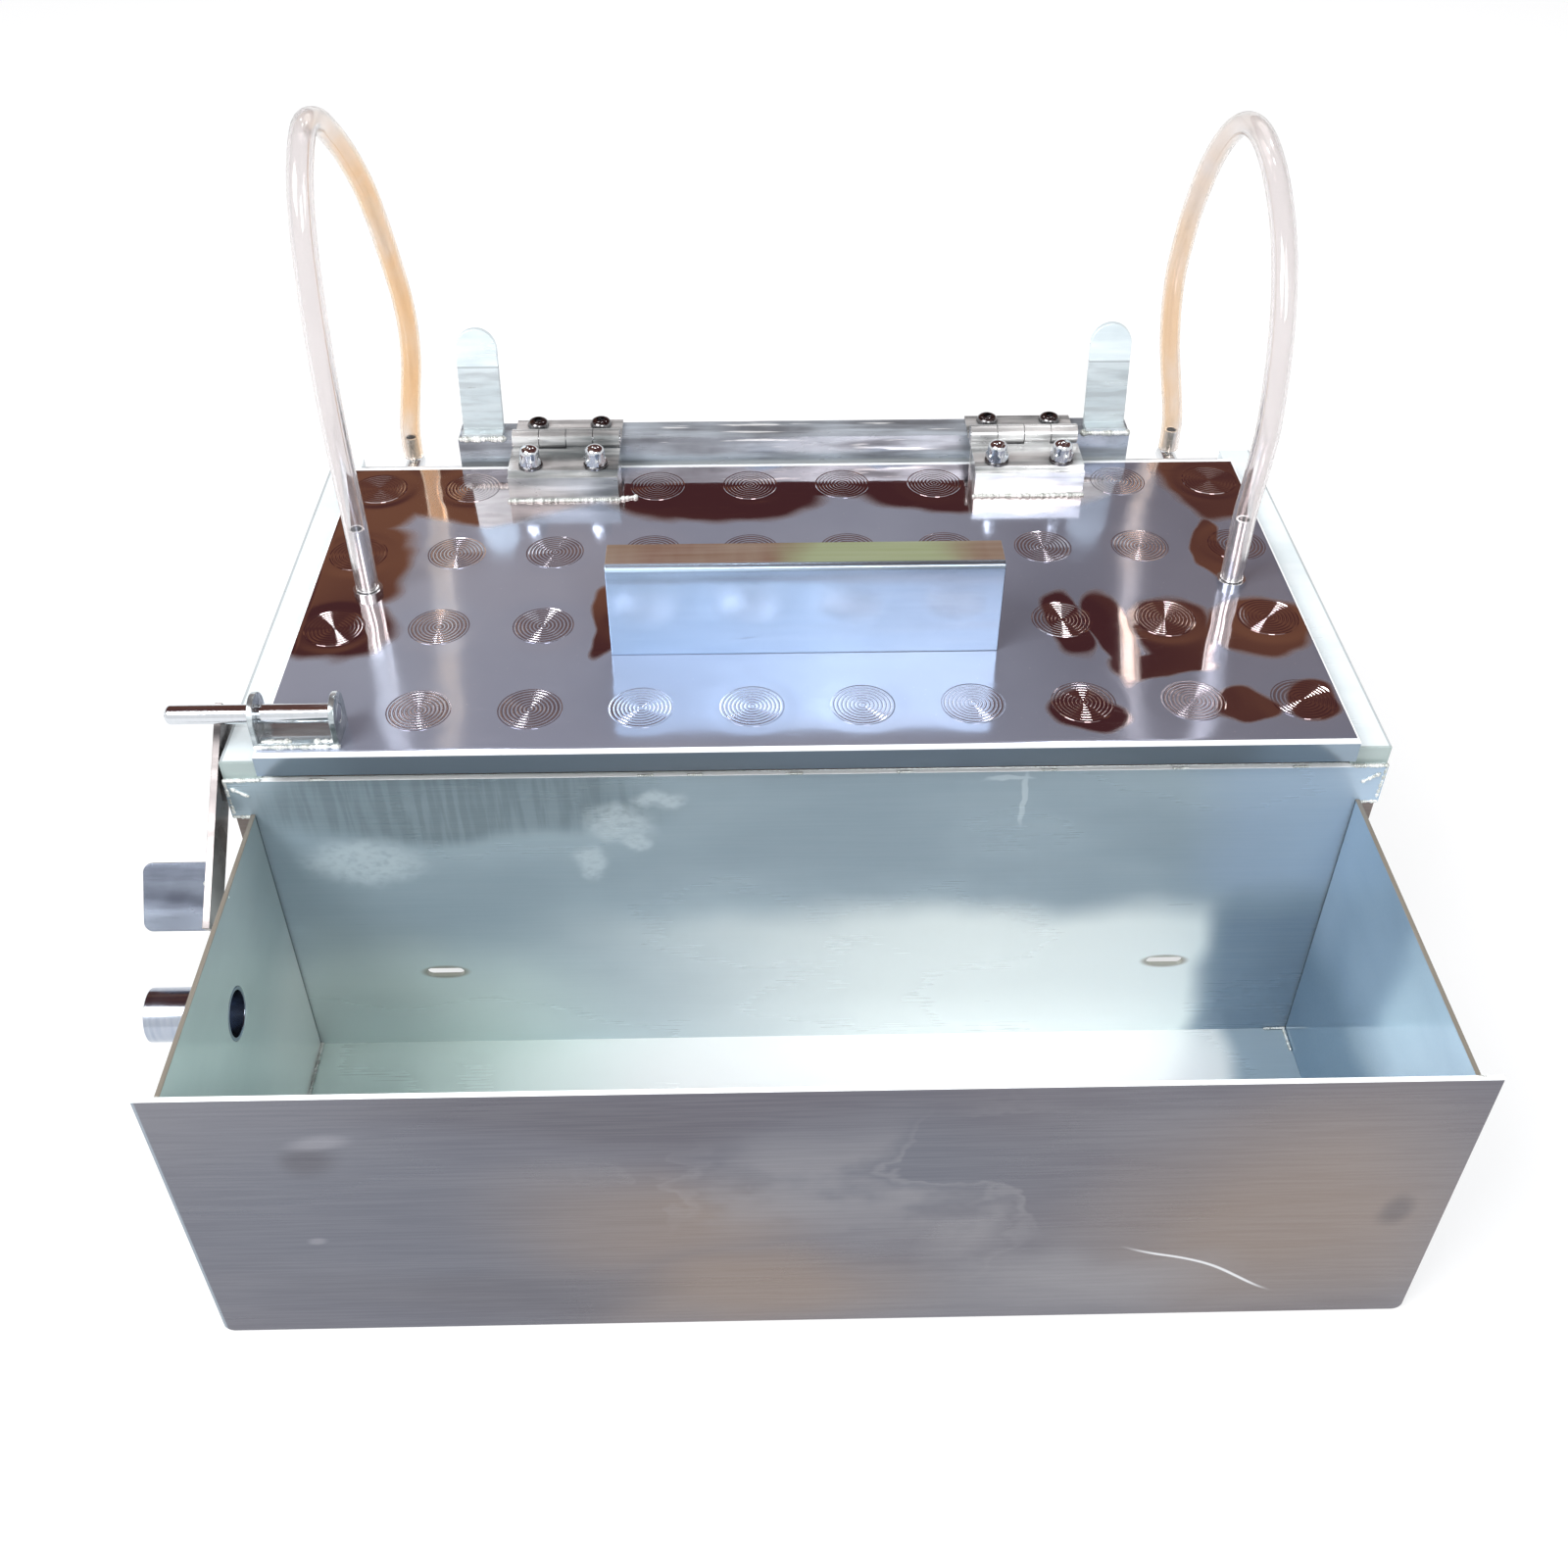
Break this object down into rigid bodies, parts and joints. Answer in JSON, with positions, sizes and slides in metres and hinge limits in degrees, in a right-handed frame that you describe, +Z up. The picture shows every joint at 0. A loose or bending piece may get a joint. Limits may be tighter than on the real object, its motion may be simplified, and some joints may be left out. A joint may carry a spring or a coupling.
{
  "type": "wax foundation press",
  "caption": "Water-cooled beeswax foundation press: hinged jacketed lid with handle, lifting lever and clear hose jumpers over a jacketed mould base, with a deep wax trough in front.",
  "frame": {"origin": "centre of the trough floor's underside, on the surface the press stands on", "axes": "+X to the operator's right, +Y away from the operator towards the hinges, +Z up"},
  "size_m": [0.514, 0.4447, 0.3852],
  "materials": {
    "mirror_lid": "mirror-polished sheet with ground plug-weld spots",
    "trough_sheet": "semi-bright rolled sheet with wax smears",
    "front_sheet": "cloudy rolled sheet with handling scratches",
    "base_sheet": "bright rolled sheet",
    "ground_steel": "rough ground",
    "strip_steel": "satin flat strip",
    "hinge_steel": "satin pressed leaf",
    "bright_fastener": "bright turned steel",
    "dark_fastener": "dark bright steel",
    "nipple_steel": "drawn tube",
    "handle_sheet": "satin folded sheet with scratches",
    "silicone": "matt moulded silicone with embossed cells",
    "clear_hose": "clear flexible PVC"
  },
  "bodies": {
    "base": {"base_pan": "base_sheet", "base_bed_plate": "base_sheet", "base_stays": "ground_steel", "lower_mould_mat": "silicone", "side_rail_left": "base_sheet", "side_rail_right": "base_sheet", "rear_rail": "ground_steel", "hinge_bar": "ground_steel", "trough_back_panel": "trough_sheet", "trough_floor": "trough_sheet", "trough_end_left": "trough_sheet", "trough_end_right": "trough_sheet", "front_panel": "front_sheet", "overflow_spout": "trough_sheet", "rear_leg_left": "base_sheet", "rear_leg_right": "base_sheet", "leg_foot_plates": "ground_steel", "lid_stop_left": "strip_steel", "lid_stop_right": "strip_steel", "hinge_rear_leaf_left": "hinge_steel", "hinge_rear_leaf_right": "hinge_steel", "hinge_pin_left": "dark_fastener", "hinge_pin_right": "dark_fastener", "rear_hinge_screws": "dark_fastener", "base_nipple_left": "nipple_steel", "base_nipple_right": "nipple_steel", "supply_inlet": "nipple_steel", "supply_outlet": "nipple_steel", "lever_pivot_pin": "bright_fastener", "hose_left": "clear_hose", "hose_right": "clear_hose"},
    "lid": {"lid_cover": "mirror_lid", "lid_face_plate": "base_sheet", "upper_mould_mat": "silicone", "lid_stays": "ground_steel", "handle": "handle_sheet", "hinge_block_left": "ground_steel", "hinge_block_right": "ground_steel", "hinge_front_leaf_left": "hinge_steel", "hinge_front_leaf_right": "hinge_steel", "hinge_studs": "bright_fastener", "hinge_washers": "bright_fastener", "acorn_nuts": "bright_fastener", "lid_nipple_left": "nipple_steel", "lid_nipple_right": "nipple_steel", "lifter_bracket": "strip_steel", "lifting_rod": "bright_fastener"},
    "lever": {"lifter_lever": "strip_steel", "lifter_paddle": "strip_steel"}
  },
  "joints": [
    {"name": "lid_hinge", "type": "hinge", "parent": "base", "child": "lid", "pos_m": [0, 0.294, 0.20375], "axis": [-1, 0, 0], "range_deg": [0, 135], "deforming": ["hose_left", "hose_right"]},
    {"name": "lever_press", "type": "hinge", "parent": "base", "child": "lever", "pos_m": [-0.2445, 0.0815, 0.1665], "axis": [1, 0, 0], "range_deg": [0, 26]}
  ]
}
